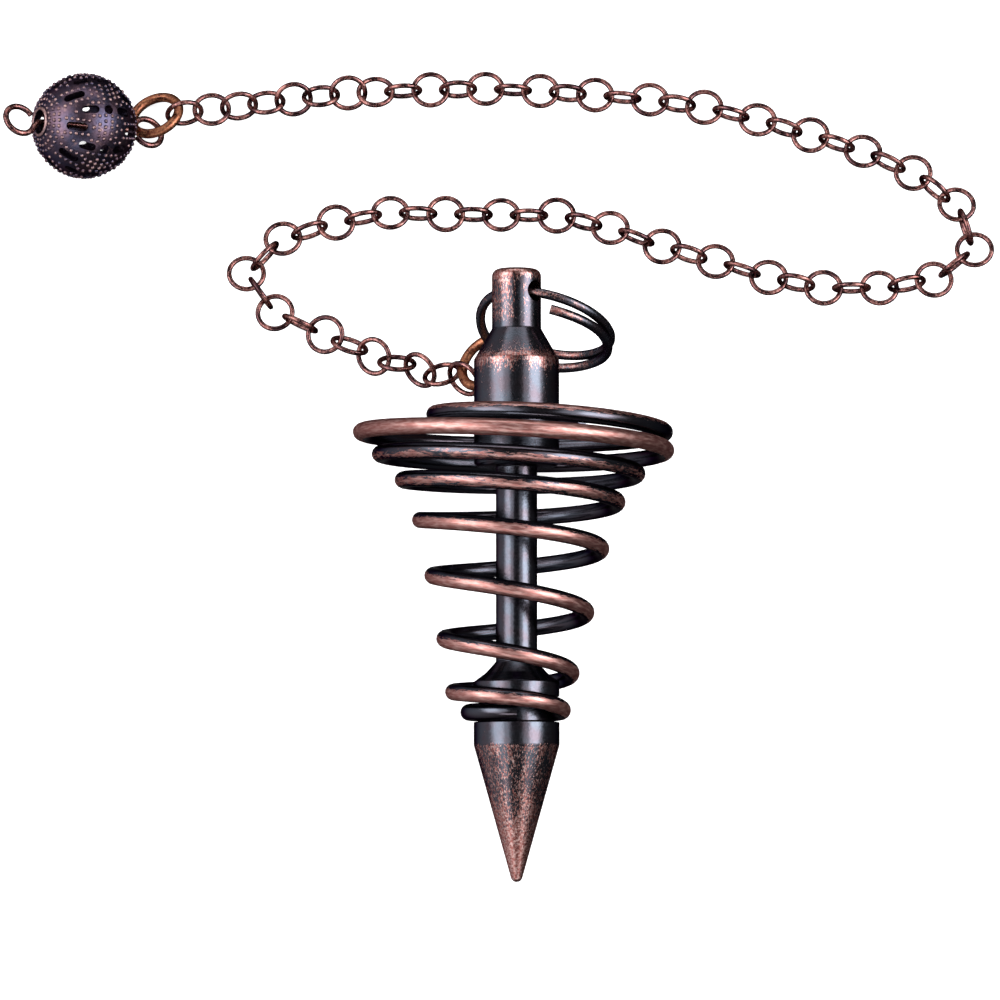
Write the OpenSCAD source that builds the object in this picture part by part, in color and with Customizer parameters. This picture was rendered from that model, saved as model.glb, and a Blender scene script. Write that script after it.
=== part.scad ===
// Pendulum pendant lying on a table: a turned pendulum with a conical spring, a split ring,
// a chain of round links and a pierced bead on an eye pin. Millimetres, +Z up.

/* [Pendulum body] */
// Diameter of the rounded tip
tip_d = 0.88; // [0.6:0.02:1.4]
// Length of the cone, from the tip to the lower band
cone_len = 10.2; // [8:0.05:14]
// Diameter of the lower band
band_d = 6.4; // [6:0.05:7.2]
// Length of the lower band
band_len = 1.7; // [1:0.05:3]
// Diameter of the groove that the spring grips
groove_d = 5.3; // [4.4:0.05:5.8]
// Length of the groove
groove_len = 1.9; // [1.7:0.05:3]
// Diameter of the collar above the groove
collar_d = 6.4; // [6:0.05:7.2]
// Length of the collar
collar_len = 1.1; // [0.6:0.05:3]
// Length of the hollow flare from the collar to the rod
flare_len = 1.5; // [1:0.05:3]
// Diameter of the thin rod
rod_d = 3.1; // [2.4:0.05:4.4]
// Length of the thin rod
rod_len = 14.6; // [12:0.1:18]
// Diameter of the barrel
barrel_d = 6.4; // [5:0.05:7.5]
// Length of the barrel
barrel_len = 8.05; // [6:0.05:12]
// Chamfer round the barrel's lower edge
barrel_edge = 0.25; // [0.1:0.05:0.6]
// Length of the shoulder cone, from the barrel to the stem
shoulder_len = 2.35; // [1.5:0.05:4]
// Diameter of the stem
stem_d = 3.7; // [3:0.05:4.6]
// Length of the stem
stem_len = 4.5; // [3.6:0.05:6]
// Rounding of the stem's top edge
stem_round = 0.55; // [0.2:0.05:1]
// Diameter of the cross hole through the stem
hole_d = 1.6; // [1.4:0.05:2]
// Distance from the stem's top down to the middle of the cross hole
hole_drop = 1.75; // [1.4:0.05:2.6]
// Turn of the cross hole about the stem, from straight up towards the right
hole_turn = 52; // [48:1:66]

/* [Spring] */
// Diameter of the spring's wire
wire_d = 1.25; // [0.9:0.05:1.6]
// Diameter of the widest turn, to the middle of its wire
coil_d = 23.3; // [20:0.1:28]
// Height of the spring, from its first turn to its free end
coil_h = 22.35; // [19:0.05:26]
// Room between the wire and the body it grips
coil_clear = 0.1; // [0.05:0.01:0.3]
// Gap between the two widest turns
turn_gap = 0.15; // [0.1:0.01:0.6]

/* [Rings] */
// Diameter of the split ring, to the middle of its wire
split_d = 10; // [9:0.1:12]
// Diameter of the split ring's wire
split_wire = 0.74; // [0.5:0.02:0.9]
// Gap between the split ring's two strands, side by side
split_gap = 0.12; // [0.1:0.02:0.4]
// How far the split ring's outer end stands off
split_splay = 0.25; // [0:0.05:0.6]
// Diameter of the pendant's jump ring, to the middle of its wire
jump_d = 4.3; // [3.6:0.1:5]
// Diameter of the ball's jump ring, to the middle of its wire
ball_jump_d = 3.9; // [3.4:0.1:5]
// Diameter of both jump rings' wire
jump_wire = 0.76; // [0.5:0.02:0.9]

/* [Chain] */
// Outer diameter of a chain link
link_d = 3.1; // [2.7:0.02:3.5]
// Diameter of a chain link's wire
link_wire = 0.4; // [0.26:0.02:0.46]
// Least play between two neighbouring links
link_play = 0.12; // [0.1:0.01:0.2]

/* [Ball] */
// Diameter of the pierced ball
ball_d = 8.1; // [7:0.1:10]
// Wall of the pierced ball
ball_wall = 0.5; // [0.3:0.05:0.9]
// Diameter of the hole at each pole
pole_d = 1.85; // [1.2:0.05:2.4]
// Width of the raised rim round a pole's hole
rim_w = 0.3; // [0.2:0.02:0.5]
// Width of a slot
slot_w = 0.65; // [0.4:0.05:1]
// Slots in each ring round a pole
slot_count = 8; // [6:1:10]
// Diameter of the round holes along the equator
port_d = 0.75; // [0.4:0.05:1]
// Diameter of the raised dots
dot_d = 0.4; // [0.3:0.02:0.5]
// Diameter of the eye pin's wire
pin_wire = 0.48; // [0.4:0.02:0.7]
// Diameter of the pin's eyes, to the middle of their wire
eye_d = 2.4; // [2:0.05:3]
// Play between the ball and each eye
eye_play = 0.2; // [0.1:0.05:1]

/* [Hidden] */

// Middle of the whole layout on the table, which the origin stands for
table_mid = [0.1, 2.6, 0];
// Where the pendulum's tip and the ball lie on the table
tip_place = [1.24, -31.25, 0];
ball_place = [-32.64, 30.25, 0];
up = [0, 0, 1];
// Slack left in each joint between two rings
ring_slack = 0.125;

// Chain's route on the table, from the ball to the pendant, as chosen points
route = [[-21.3, 33.4], [-17, 34], [-12.9, 34.6], [-8.3, 34.8], [-3.9, 35], [0.6, 35],
    [4.9, 34.7], [9.4, 34.3], [13.9, 33.8], [18.2, 32.9], [22.4, 31.6], [26.5, 30.2],
    [30.2, 28.8], [33.6, 26.8], [36.2, 24.3], [37.3, 21.6], [36.1, 19.2], [33.4, 18],
    [30.4, 17.5],
    [26.6, 17.3], [22.1, 18], [18, 19.4], [14.1, 20.5], [9.6, 22.3], [5.7, 23.6],
    [1.4, 23.8], [-3.1, 23.8], [-7.4, 24.1], [-11.8, 23.4], [-15.8, 22.2], [-18.6, 20.8],
    [-19.8, 18.7], [-19.2, 16.6], [-17.2, 15.1], [-14.2, 13.7], [-10.6, 11.8], [-7.6, 10.2]];

function unit(v) = v / norm(v);
function mix(a, b, t) = a + (b - a) * t;
function ease(t) = let(c = max(0, min(1, t))) c * c * (3 - 2 * c);

// Heights along the body, from the tip
band_z = cone_len;
groove_z = band_z + band_len;
collar_z = groove_z + groove_len;
flare_z = collar_z + collar_len;
rod_z = flare_z + flare_len;
barrel_z = flare_z + flare_len + rod_len;
shoulder_z = barrel_z + barrel_len;
stem_z = shoulder_z + shoulder_len;
top_z = stem_z + stem_len;
hole_z = top_z - hole_drop;

// The spring's three radii: gripping the groove, clearing the collar, and its widest turn
seat_r = groove_d / 2 + wire_d / 2 + coil_clear;
pass_r = max(collar_d, band_d) / 2 + wire_d / 2 + coil_clear;
wide_r = coil_d / 2;
seat_z = groove_z + wire_d / 2 + coil_clear;
stack_h = wire_d + turn_gap;

// The spring's sections, as shares of those sizes
TURN = 0;   // turns from the lower cut end
LEAVE = 1;  // share of the way out from the groove to clear the collar
FLARE = 2;  // share of the way out from the collar to the widest turn
RISE = 3;   // share of the height
STACK = 4;  // share of one wire laid on the turn below
coil_rows = [
    [0, 0.14, 0, 0, 0],
    [0.25, 0.36, 0, 0, 0],
    [0.5, 0.15, 0, 0.002, 0],
    [0.75, 0.05, 0, 0.004, 0],
    [1, 1, 0.076, 0.044, 0],
    [1.25, 1, 0.103, 0.073, 0],
    [1.5, 1, 0.06, 0.1, 0],
    [1.75, 1, 0.02, 0.137, 0],
    [2.25, 1, 0.189, 0.262, 0],
    [2.75, 1, 0.165, 0.354, 0],
    [3.25, 1, 0.305, 0.488, 0],
    [3.75, 1, 0.31, 0.581, 0],
    [4.25, 1, 0.425, 0.687, 0],
    [4.75, 1, 0.467, 0.748, 0],
    [5.25, 1, 0.594, 0.831, 0],
    [5.75, 1, 0.66, 0.85, 0],
    [6.25, 1, 0.816, 0.924, 0],
    [6.75, 1, 0.94, 0.933, 0],
    [7.25, 1, 1, 0.935, 1],
    [7.75, 1, 0.93, 0.936, 1],
    [8, 1, 0.63, 0.975, 1],
    [8.25, 1, 0.27, 0.995, 1],
    [8.5, 1, 0.2, 1, 1],
    [8.7, 1, 0.17, 1, 1]];

// Smooth value of one column at a number of turns
function row_slope(i, c) = let(a = max(i - 1, 0), b = min(i + 1, len(coil_rows) - 1))
    (coil_rows[b][c] - coil_rows[a][c]) / (coil_rows[b][TURN] - coil_rows[a][TURN]);
function row_before(n, i = 0) =
    i >= len(coil_rows) - 2 || coil_rows[i + 1][TURN] > n ? i : row_before(n, i + 1);
function column(n, c) = let(
        i = row_before(n),
        h = coil_rows[i + 1][TURN] - coil_rows[i][TURN],
        t = (n - coil_rows[i][TURN]) / h)
    (2 * t^3 - 3 * t^2 + 1) * coil_rows[i][c] + (t^3 - 2 * t^2 + t) * h * row_slope(i, c)
    + (3 * t^2 - 2 * t^3) * coil_rows[i + 1][c] + (t^3 - t^2) * h * row_slope(i + 1, c);
function coil_r(n) = seat_r + column(n, LEAVE) * (pass_r - seat_r)
    + column(n, FLARE) * (wide_r - pass_r);
function coil_z(n) = seat_z + column(n, RISE) * (coil_h - stack_h) + column(n, STACK) * stack_h;
function coil_point(n) = [-coil_r(n) * sin(360 * n), -coil_r(n) * cos(360 * n), coil_z(n)];
coil_turns = coil_rows[len(coil_rows) - 1][TURN];
rings_per_turn = 24;

// The pendulum lies on its rounded tip and on the lowest point of its widest turns
function lean_on(p) = let(a = p.z - tip_d / 2, k = (wire_d - tip_d) / 2)
    atan2(p.y, a) + asin(k / norm([a, p.y]));
lean = max([for (n = [6.4:0.02:7.9]) lean_on(coil_point(n))]);
tip_lift = tip_d / 2 * (1 - sin(lean));
function laid(p) = tip_place + [p.x, p.y * sin(lean) + p.z * cos(lean),
    tip_lift - p.y * cos(lean) + p.z * sin(lean)];

// The split ring hangs on edge from the cross hole
hole_place = laid([0, 0, hole_z]);
split_yaw = -14;
split_side = [cos(split_yaw), sin(split_yaw), 0];
split_face = [-sin(split_yaw), cos(split_yaw), 0];
// Angles along the split ring's wire: its ends, the hole, and where it changes strand
split_from = 84;
split_to = -450;
split_hole = -241;
split_leave = -125;
split_join = -225;
// Angle from which the outer end starts to stand off
split_calm = 20;
// The pendant's jump ring pulls one strand aside, most at this angle and up to so far from it
split_pull = 0.55;
pull_at = -122;
pull_span = 95;
// The wire bows outward inside the straight hole by half its own sagitta there
split_bow = (stem_d / 2)^2 / (2 * split_d);
function split_ray(f) = cos(f) * split_side + sin(f) * up;
split_mid = hole_place - (split_d / 2 - split_bow) * split_ray(split_hole);
function split_aside(f) =
    (split_wire + split_gap) * (1 - ease((split_leave - f) / (split_leave - split_join)))
    + split_splay * ease((f - split_calm) / (split_from - split_calm))
    + split_pull * ease(1 - abs(f - pull_at) / pull_span);
function split_point(f) = split_mid + split_d / 2 * split_ray(f) - split_aside(f) * split_face;

// The pendant's jump ring hangs round the split ring's single strand
jump_at = -134;
jump_strand = split_point(jump_at);
jump_hang = unit([-0.69, -0.66, -0.3]);
jump_mid = jump_strand
    + (jump_d / 2 - jump_wire / 2 - split_wire / 2 - ring_slack) * jump_hang;
strand_way = unit(split_point(jump_at - 1) - split_point(jump_at + 1));
// The ring is turned a little from square to the strand, towards the chain
jump_turn = -10;
strand_axis = unit(strand_way - (strand_way * jump_hang) * jump_hang);
jump_axis = cos(jump_turn) * strand_axis + sin(jump_turn) * cross(jump_hang, strand_axis);
jump_end = jump_mid
    + (jump_d / 2 - jump_wire / 2 - link_wire / 2 - ring_slack) * jump_hang;
// The last link leaves the jump ring towards the table
chain_end_way = unit([-0.52, 0.22, -0.85]);
link_r = (link_d - link_wire) / 2;
last_link = jump_end + link_r * chain_end_way;

// The ball rests on the table, its pin's axis rising to the left
ball_mid = ball_place + (ball_d + dot_d) / 2 * up;
pole_yaw = 192;
pole_rise = 31;
pole_way = [cos(pole_rise) * cos(pole_yaw), cos(pole_rise) * sin(pole_yaw), sin(pole_rise)];
eye_side = [-sin(pole_yaw), cos(pole_yaw), 0];
eye_r = eye_d / 2;
eye_reach = ball_d / 2 + eye_play + pin_wire / 2 + eye_r;
eye_mid = ball_mid - eye_reach * pole_way;

// The ball's jump ring joins the lower eye to the first link
ball_jump_way = unit([0.58, 1.55, -0.1]);
ball_jump_axis = unit([-0.31, 0.28, 0.91]);
ball_jump_r = ball_jump_d / 2;
// Distance between two joined rings' middles, as a share of their radii together
eye_hold = 0.526;
link_hold = 0.719;
ball_jump_mid = eye_mid + eye_hold * (eye_r + ball_jump_r) * ball_jump_way;
first_link_way = unit([0.97, -0.02, 0.22]);
first_link = ball_jump_mid + link_hold * (ball_jump_r + link_r) * first_link_way;

// The chain's smooth route through its chosen points, lifted at its end to the last link
end_lift = 1.4;
end_sag = 0.56;
link_z = link_d / 2;
route_end = [route[len(route) - 1].x, route[len(route) - 1].y, link_z + end_lift];
route_points = concat([first_link],
    [for (i = [0:len(route) - 2]) [route[i].x, route[i].y, link_z]],
    [route_end, mix(route_end, last_link, 0.55) - end_sag * up, last_link]);
route_steps = 8;
function route_near(i) = route_points[max(0, min(len(route_points) - 1, i))];
function route_spot(i, t) = 0.5 * (2 * route_near(i)
    + (route_near(i + 1) - route_near(i - 1)) * t
    + (2 * route_near(i - 1) - 5 * route_near(i) + 4 * route_near(i + 1)
        - route_near(i + 2)) * t^2
    + (3 * route_near(i) - route_near(i - 1) - 3 * route_near(i + 1)
        + route_near(i + 2)) * t^3);
route_line = [for (k = [0:(len(route_points) - 1) * route_steps])
    route_spot(floor(k / route_steps), (k % route_steps) / route_steps)];
route_run = [for (i = 0, s = 0; i < len(route_line);
    s = s + norm(route_line[min(i + 1, len(route_line) - 1)] - route_line[i]), i = i + 1) s];
route_len = route_run[len(route_run) - 1];
function run_before(s, lo, hi) = hi - lo <= 1 ? lo : let(m = floor((lo + hi) / 2))
    route_run[m] <= s ? run_before(s, m, hi) : run_before(s, lo, m);
function route_at(s) = let(
        i = run_before(s, 0, len(route_run) - 1),
        t = (s - route_run[i]) / (route_run[i + 1] - route_run[i]))
    mix(route_line[i], route_line[i + 1], t);

// Links as far apart as their play allows, then spread evenly over the route
link_reach = link_d - 2 * link_wire - link_play;
link_count = ceil(route_len / link_reach) + 1;
link_pitch = route_len / (link_count - 1);
// Links lie in turn flat and on edge, and near the ball a quarter twist swaps the two
last_one = link_count - 1;
twist_from = 4;
twist_links = 5;
function twist(i) = 90 * ease((i - twist_from) / twist_links);
// Each link on edge is halfway between its flat neighbours, so the chain turns only in flat ones
function lies_flat(i) = i % 2 == (twist(i) < 60 ? 0 : 1);
function link_spot(i) = lies_flat(i) || i == last_one ? route_at(min(i * link_pitch, route_len))
    : mix(route_at((i - 1) * link_pitch), route_at((i + 1) * link_pitch), 0.5);
function link_way(i) = unit(link_spot(min(i + 1, last_one)) - link_spot(max(i - 1, 0)));
// The links on edge lean a little to the back, and each link has a small roll of its own
edge_lean = [0, -0.17, 0.98];
link_wobble = 5;
// Towards each end of the chain the links turn until the end one holds its jump ring
first_axis = [0.18, -0.97, 0.15];
last_axis = [-0.67, -0.68, 0.33];
turning_links = 10;
function lean_for(axis, i) = let(
        way = link_way(i),
        square = unit(axis - (axis * way) * way),
        lean = lies_flat(i) ? square : cross(square, way))
    sign(lean.z) * lean;
first_lean = lean_for(first_axis, 0);
last_lean = lean_for(last_axis, last_one);
function link_lean(i) = mix(
    mix(first_lean, lies_flat(i) ? up : edge_lean, ease(i / turning_links)),
    last_lean, ease((i - last_one) / turning_links + 1));
function link_axis(i) = let(
        way = link_way(i),
        side = unit(cross(way, link_lean(i))),
        own = i == last_one ? 0 : link_wobble * sin(i * 97),
        roll = 90 * (i % 2) + twist(i) + own)
    cos(roll) * cross(side, way) + sin(roll) * side;

// A round wire along points, with flat ends, its rings square to a guide direction
module wire(points, d, sides, guide) {
    last = len(points) - 1;
    rings = [for (i = [0:last]) let(
            way = unit(points[min(i + 1, last)] - points[max(i - 1, 0)]),
            out = unit(cross(way, guide)),
            over = cross(way, out))
        for (j = [0:sides - 1]) let(a = 360 * j / sides)
            points[i] + d / 2 * (cos(a) * out + sin(a) * over)];
    walls = [for (i = [0:last - 1]) for (j = [0:sides - 1]) let(
            k = (j + 1) % sides,
            a = i * sides + j,
            b = i * sides + k)
        each [[a, a + sides, b + sides], [a, b + sides, b]]];
    ends = [for (j = [1:sides - 2]) each
        [[0, j, j + 1], [last * sides, last * sides + j + 1, last * sides + j]]];
    polyhedron(rings, concat(walls, ends), convexity = 10);
}

// A closed round ring about an axis
module ring(mid, axis, d, wire_size) {
    translate(mid)
        rotate([0, acos(axis.z / norm(axis)), atan2(axis.y, axis.x)])
            rotate_extrude($fn = 48)
                translate([d / 2, 0])
                    circle(d = wire_size, $fn = 24);
}

// Puts a piece laid out on the table with the layout's middle at the origin
module on_table() {
    translate(-table_mid)
        children();
}

// Half outline of the turned body, from the tip up
function arc(mid, r, from, to, steps) = [for (k = [0:steps])
    let(a = mix(from, to, k / steps)) mid + r * [cos(a), sin(a)]];
tip_r = tip_d / 2;
// Direction in which the cone's side leaves the round tip
cone_far = norm([band_d / 2, cone_len - tip_r]);
cone_turn = atan2(cone_len - tip_r, band_d / 2) - acos(tip_r / cone_far);
// Round of the stem's top, limited by the stem's own size
top_round = min(stem_round, stem_d / 2 - 0.2);
edge_cut = min(barrel_edge, (barrel_d - rod_d) / 2 - 0.1);
// The flare is hollowed a little from a straight cone
flare_hollow = 0.08;
body_outline = concat(
    arc([0, tip_r], tip_r, -90, cone_turn, 4),
    [[band_d / 2, band_z], [band_d / 2, groove_z], [groove_d / 2, groove_z],
        [groove_d / 2, collar_z], [collar_d / 2, collar_z], [collar_d / 2, flare_z]],
    [mix([collar_d / 2, flare_z], [rod_d / 2, rod_z], 0.5) - flare_hollow * [1, 1]],
    [[rod_d / 2, rod_z], [rod_d / 2, barrel_z], [barrel_d / 2 - edge_cut, barrel_z],
        [barrel_d / 2, barrel_z + edge_cut], [barrel_d / 2, shoulder_z], [stem_d / 2, stem_z]],
    arc([stem_d / 2 - top_round, top_z - top_round], top_round, 0, 90, 3),
    [[0, top_z]]);

module turned_body() {
    color("#3b3038")
        on_table()
            translate(tip_place + tip_lift * up)
                rotate([lean - 90, 0, 0])
                    difference() {
                        rotate_extrude($fn = 64)
                            polygon(body_outline);
                        translate([0, 0, hole_z])
                            rotate([90, 0, hole_turn])
                                cylinder(d = hole_d, h = 2 * stem_d, center = true, $fn = 32);
                    }
}

module spring_coil() {
    steps = round(coil_turns * rings_per_turn);
    color("#9a6458")
        on_table()
            wire([for (k = [0:steps]) laid(coil_point(coil_turns * k / steps))], wire_d, 10,
                laid(up) - laid([0, 0, 0]));
}

module split_ring() {
    steps = 48;
    color("#4a3a40")
        on_table()
            wire([for (k = [0:steps]) split_point(mix(split_from, split_to, k / steps))],
                split_wire, 8, split_face);
}

module pendant_jump_ring() {
    color("#a0684a")
        on_table()
            ring(jump_mid, jump_axis, jump_d, jump_wire);
}

module chain() {
    color("#80504a")
        on_table()
            for (i = [0:link_count - 1])
                ring(link_spot(i), link_axis(i), 2 * link_r, link_wire);
}

module ball_jump_ring() {
    color("#a0684a")
        on_table()
            ring(ball_jump_mid, ball_jump_axis, ball_jump_d, jump_wire);
}

// One half of the eye pin from the ball's middle out, as places along and across its axis
eye_open = 26;
eye_arc = [for (a = [180 - eye_open:-(360 - 2 * eye_open) / 18:-180 + eye_open])
    [eye_reach + eye_r * cos(a), eye_r * sin(a)]];
pin_half = concat([[eye_reach - 1.75 * eye_r, 0], [eye_reach - 1.3 * eye_r, 0.08 * eye_r]],
    eye_arc);
function pin_spot(p, end) = ball_mid + end * (p.x * pole_way + p.y * eye_side);

module eye_pin() {
    color("#7a5048")
        on_table()
            wire(concat([for (k = [len(pin_half) - 1:-1:0]) pin_spot(pin_half[k], 1)],
                [for (p = pin_half) pin_spot(p, -1)]), pin_wire, 8, cross(pole_way, eye_side));
}

// The pierced ball about its own polar axis: angles are measured from a pole, and the whole
// pattern is turned about that axis
ball_turn = 11;
// Rings of slots: angle where they start, angle where they end, share of a step
slot_rings = [[43, 65, 0], [61, 78, 0.5]];
dot_r = dot_d / 2;
// The rim's bead stands a little over the hole's edge, which trims it
rim_r = pole_d / 2 + 0.4 * rim_w;
rim_z = sqrt(ball_d^2 / 4 - rim_r^2);
// Rings of raised dots: angle from the pole, dots in the ring for each slot, share of a step
dot_rings = [[23, 1.5, 0], [33, 1, 0], [45, 2, 0.5], [55, 2, 0.5], [65, 2, 0.5], [75, 2, 0.5],
    [84, 1, 0]];

// Puts a feature at an angle from the pole, turned about the polar axis
module on_ball(polar, turn) {
    rotate([0, 0, turn])
        rotate([0, polar, 0])
            children();
}

// Raised dots and rim of one half
module ball_relief() {
    for (row = dot_rings)
        for (k = [0:round(row[1] * slot_count) - 1])
            on_ball(row[0], (k + row[2]) * 360 / slot_count / row[1])
                translate([0, 0, ball_d / 2])
                    sphere(r = dot_r, $fn = 16);
    translate([0, 0, rim_z])
        rotate_extrude($fn = 32)
            translate([rim_r, 0])
                circle(d = rim_w, $fn = 12);
}

// Slots of one half
module ball_slots() {
    for (row = slot_rings)
        for (k = [0:slot_count - 1])
            rotate([90, 0, (k + row[2]) * 360 / slot_count])
                linear_extrude(slot_w, center = true)
                    polygon([[0, 0],
                        ball_d * [sin(row[0]), cos(row[0])],
                        ball_d * [sin(row[1]), cos(row[1])]]);
}

// Round holes along the equator
module ball_ports() {
    for (k = [0:slot_count - 1])
        on_ball(90, (k + 0.5) * 360 / slot_count)
            cylinder(d = port_d, h = ball_d, $fn = 24);
}

module filigree_ball() {
    color("#54434f")
        on_table()
            translate(ball_mid)
                rotate([0, 90 - pole_rise, pole_yaw])
                    rotate([0, 0, ball_turn])
                        difference() {
                            union() {
                                sphere(d = ball_d, $fn = 64);
                                for (end = [0, 180])
                                    rotate([end, 0, 0])
                                        ball_relief();
                            }
                            sphere(d = ball_d - 2 * ball_wall, $fn = 64);
                            cylinder(d = pole_d, h = 2 * ball_d, center = true, $fn = 32);
                            for (end = [0, 180])
                                rotate([end, 0, 0])
                                    ball_slots();
                            ball_ports();
                        }
}

turned_body();
spring_coil();
split_ring();
pendant_jump_ring();
chain();
ball_jump_ring();
eye_pin();
filigree_ball();
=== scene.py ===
# %% [markdown]
# A pendulum pendant lies on a white table: a turned metal cone gripped by a wide conical
# spring, a split ring, a chain of small round links and a pierced bead on an eye pin. The
# CAD model gives every size and place. Here each piece is made again with a finer mesh on
# the same lines, and gets the antique copper finish of the real thing.

import math

import bmesh
import bpy
import numpy as np
from mathutils import Matrix, Vector
from mathutils.kdtree import KDTree


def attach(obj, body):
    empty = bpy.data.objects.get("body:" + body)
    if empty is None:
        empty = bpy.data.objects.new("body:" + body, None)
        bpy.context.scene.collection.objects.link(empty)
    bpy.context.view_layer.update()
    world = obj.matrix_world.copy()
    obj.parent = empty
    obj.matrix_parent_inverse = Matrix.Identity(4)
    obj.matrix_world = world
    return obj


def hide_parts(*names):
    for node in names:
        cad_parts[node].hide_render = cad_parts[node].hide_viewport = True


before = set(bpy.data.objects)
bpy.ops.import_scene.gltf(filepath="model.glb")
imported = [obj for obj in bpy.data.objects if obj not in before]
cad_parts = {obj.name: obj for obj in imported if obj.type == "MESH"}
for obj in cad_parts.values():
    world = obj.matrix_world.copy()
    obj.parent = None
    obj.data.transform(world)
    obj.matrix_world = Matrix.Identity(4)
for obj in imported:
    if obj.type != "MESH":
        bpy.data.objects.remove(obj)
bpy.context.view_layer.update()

# %% [markdown]
# Blender works in metres and this pendant in millimetres, so one constant turns one into
# the other. Points are kept as small numpy arrays in millimetres until a mesh is made.

# %% Millimetres and directions
MM = 0.001
UP = np.array([0.0, 0.0, 1.0])
TABLE_MID = np.array([0.1, 2.6, 0.0])


def unit(vector):
    """The vector at length one."""
    return np.asarray(vector, float) / np.linalg.norm(vector)


def ease(share):
    """A smooth step from 0 to 1."""
    share = min(1.0, max(0.0, share))
    return share * share * (3 - 2 * share)


# %% [markdown]
# The photograph looks down steeply from 400 mm away. A long lens keeps the chain's far and
# near links almost the same size. The camera is made first, so that every later piece can
# be judged in the same view.

# %% Camera
VIEW_DISTANCE = 400
VIEW_RISE = math.radians(66)
LENS_MM = 187.25
SENSOR_MM = 36
NEAR_CLIP = 0.01
FAR_CLIP = 10

camera_data = bpy.data.cameras.new("photo_camera")
camera_data.lens = LENS_MM
camera_data.sensor_width = SENSOR_MM
camera = bpy.data.objects.new("photo_camera", camera_data)
bpy.context.collection.objects.link(camera)
away = np.array([0, -math.cos(VIEW_RISE), math.sin(VIEW_RISE)])
camera.location = Vector((VIEW_DISTANCE * away - TABLE_MID) * MM)
camera.rotation_euler = (math.pi / 2 - VIEW_RISE, 0, 0)
camera_data.clip_start = NEAR_CLIP
camera_data.clip_end = FAR_CLIP
bpy.context.scene.camera = camera
print("camera at", [round(value, 4) for value in camera.location])

# %% [markdown]
# Colours are written as the hex values that a paint program shows. Blender's shaders want
# linear light, so one function turns the one into the other. A second small function adds
# a shader node with its settings and links, which keeps each recipe readable.

# %% Colour and node helpers


def paint(code):
    """Linear colour with full alpha from an sRGB hex code."""
    shares = [int(code[start:start + 2], 16) / 255 for start in (1, 3, 5)]
    return [share / 12.92 if share <= 0.04045 else ((share + 0.055) / 1.055) ** 2.4
            for share in shares] + [1.0]


def add(tree, kind, sockets, output=0, **settings):
    """Adds a node; each socket takes a value or another node's output. Gives one output."""
    node = tree.nodes.new(kind)
    for name, value in settings.items():
        setattr(node, name, value)
    for name, value in sockets.items():
        if isinstance(value, bpy.types.NodeSocket):
            tree.links.new(value, node.inputs[name])
        else:
            node.inputs[name].default_value = value
    return node.outputs[output]


def new_material(name, metallic):
    """An empty material with its tree and its main shader."""
    material = bpy.data.materials.new(name)
    material.use_nodes = True
    tree = material.node_tree
    shader = tree.nodes["Principled BSDF"]
    shader.inputs["Metallic"].default_value = metallic
    return material, tree, shader


print("middle grey in linear light:", round(paint("#808080")[0], 3))

# %% [markdown]
# Polished metal shows the room more than its own colour, so the room is made before the
# metal. It is dark, as the outlines of the metal are, but a little lighter on the left,
# where the photograph shows lighter edges. A map range on the direction's X does that
# without any picture of a room.

# %% World
ROOM_LEFT = 0.55
ROOM_REST = 0.06
ROOM_FADE = -0.2
ROOM_TINT = (1, 0.97, 1, 1)

scene = bpy.context.scene
scene.view_settings.view_transform = "Standard"
world = bpy.data.worlds.new("dim_room")
scene.world = world
world.use_nodes = True
room = world.node_tree.nodes["Background"]
way_in = add(world.node_tree, "ShaderNodeTexCoord", {}, output="Generated")
from_left = add(world.node_tree, "ShaderNodeSeparateXYZ", {0: way_in})
room_light = add(world.node_tree, "ShaderNodeMapRange",
                 {"Value": from_left, "From Min": -1.0, "From Max": ROOM_FADE,
                  "To Min": ROOM_LEFT, "To Max": ROOM_REST})
world.node_tree.links.new(room_light, room.inputs["Strength"])
room.inputs["Color"].default_value = ROOM_TINT
print("room light:", ROOM_LEFT, "on the left,", ROOM_REST, "elsewhere")

# %% [markdown]
# The dark line down the middle of the barrel, between two pale bands, says that two wide
# soft boxes stood left and right of the camera, with a dark gap between them. Each side is
# a wide dim box with a narrower bright one in front, so that the bands fade at their edges,
# and a small one nearer the camera, which is what the sloping cone mirrors. Weaker boxes at
# the front and back light the parts of the wires that run across. Area lights do this
# better than points, because polished metal shows the shape of its lights.

# %% Soft boxes
# Turn and rise in degrees, then distance, width and height in metres, and radiance
SOFT_BOXES = {"left_wide_box": (-84, 44, 0.75, 0.85, 0.75, 1.5),
              "left_bright_box": (-84, 40, 0.6, 0.36, 0.3, 2.3),
              "left_front_box": (-50.4, 34, 0.75, 0.45, 0.34, 1.3),
              "right_wide_box": (84, 44, 0.75, 0.85, 0.75, 1.5),
              "right_bright_box": (84, 40, 0.6, 0.36, 0.3, 5.2),
              "right_front_box": (50.4, 34, 0.75, 0.45, 0.34, 1.3),
              "front_box": (0, 20, 0.8, 0.8, 0.22, 2.2),
              "back_box": (180, 38, 0.8, 0.9, 0.3, 1.8)}


def soft_box(name, turn, rise, distance, width, height, radiance):
    """A rectangular light aimed at the middle: turn is sideways from the front."""
    side = math.radians(turn)
    lift = math.radians(rise)
    ray = Vector((math.sin(side) * math.cos(lift),
                  -math.cos(side) * math.cos(lift), math.sin(lift)))
    data = bpy.data.lights.new(name, "AREA")
    data.shape = "RECTANGLE"
    data.size = width
    data.size_y = height
    data.energy = radiance * math.pi * width * height
    lamp = bpy.data.objects.new(name, data)
    lamp.location = ray * distance
    lamp.rotation_euler = (-ray).to_track_quat("-Z", "Y").to_euler()
    bpy.context.collection.objects.link(lamp)


for name, row in SOFT_BOXES.items():
    soft_box(name, *row)

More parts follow.
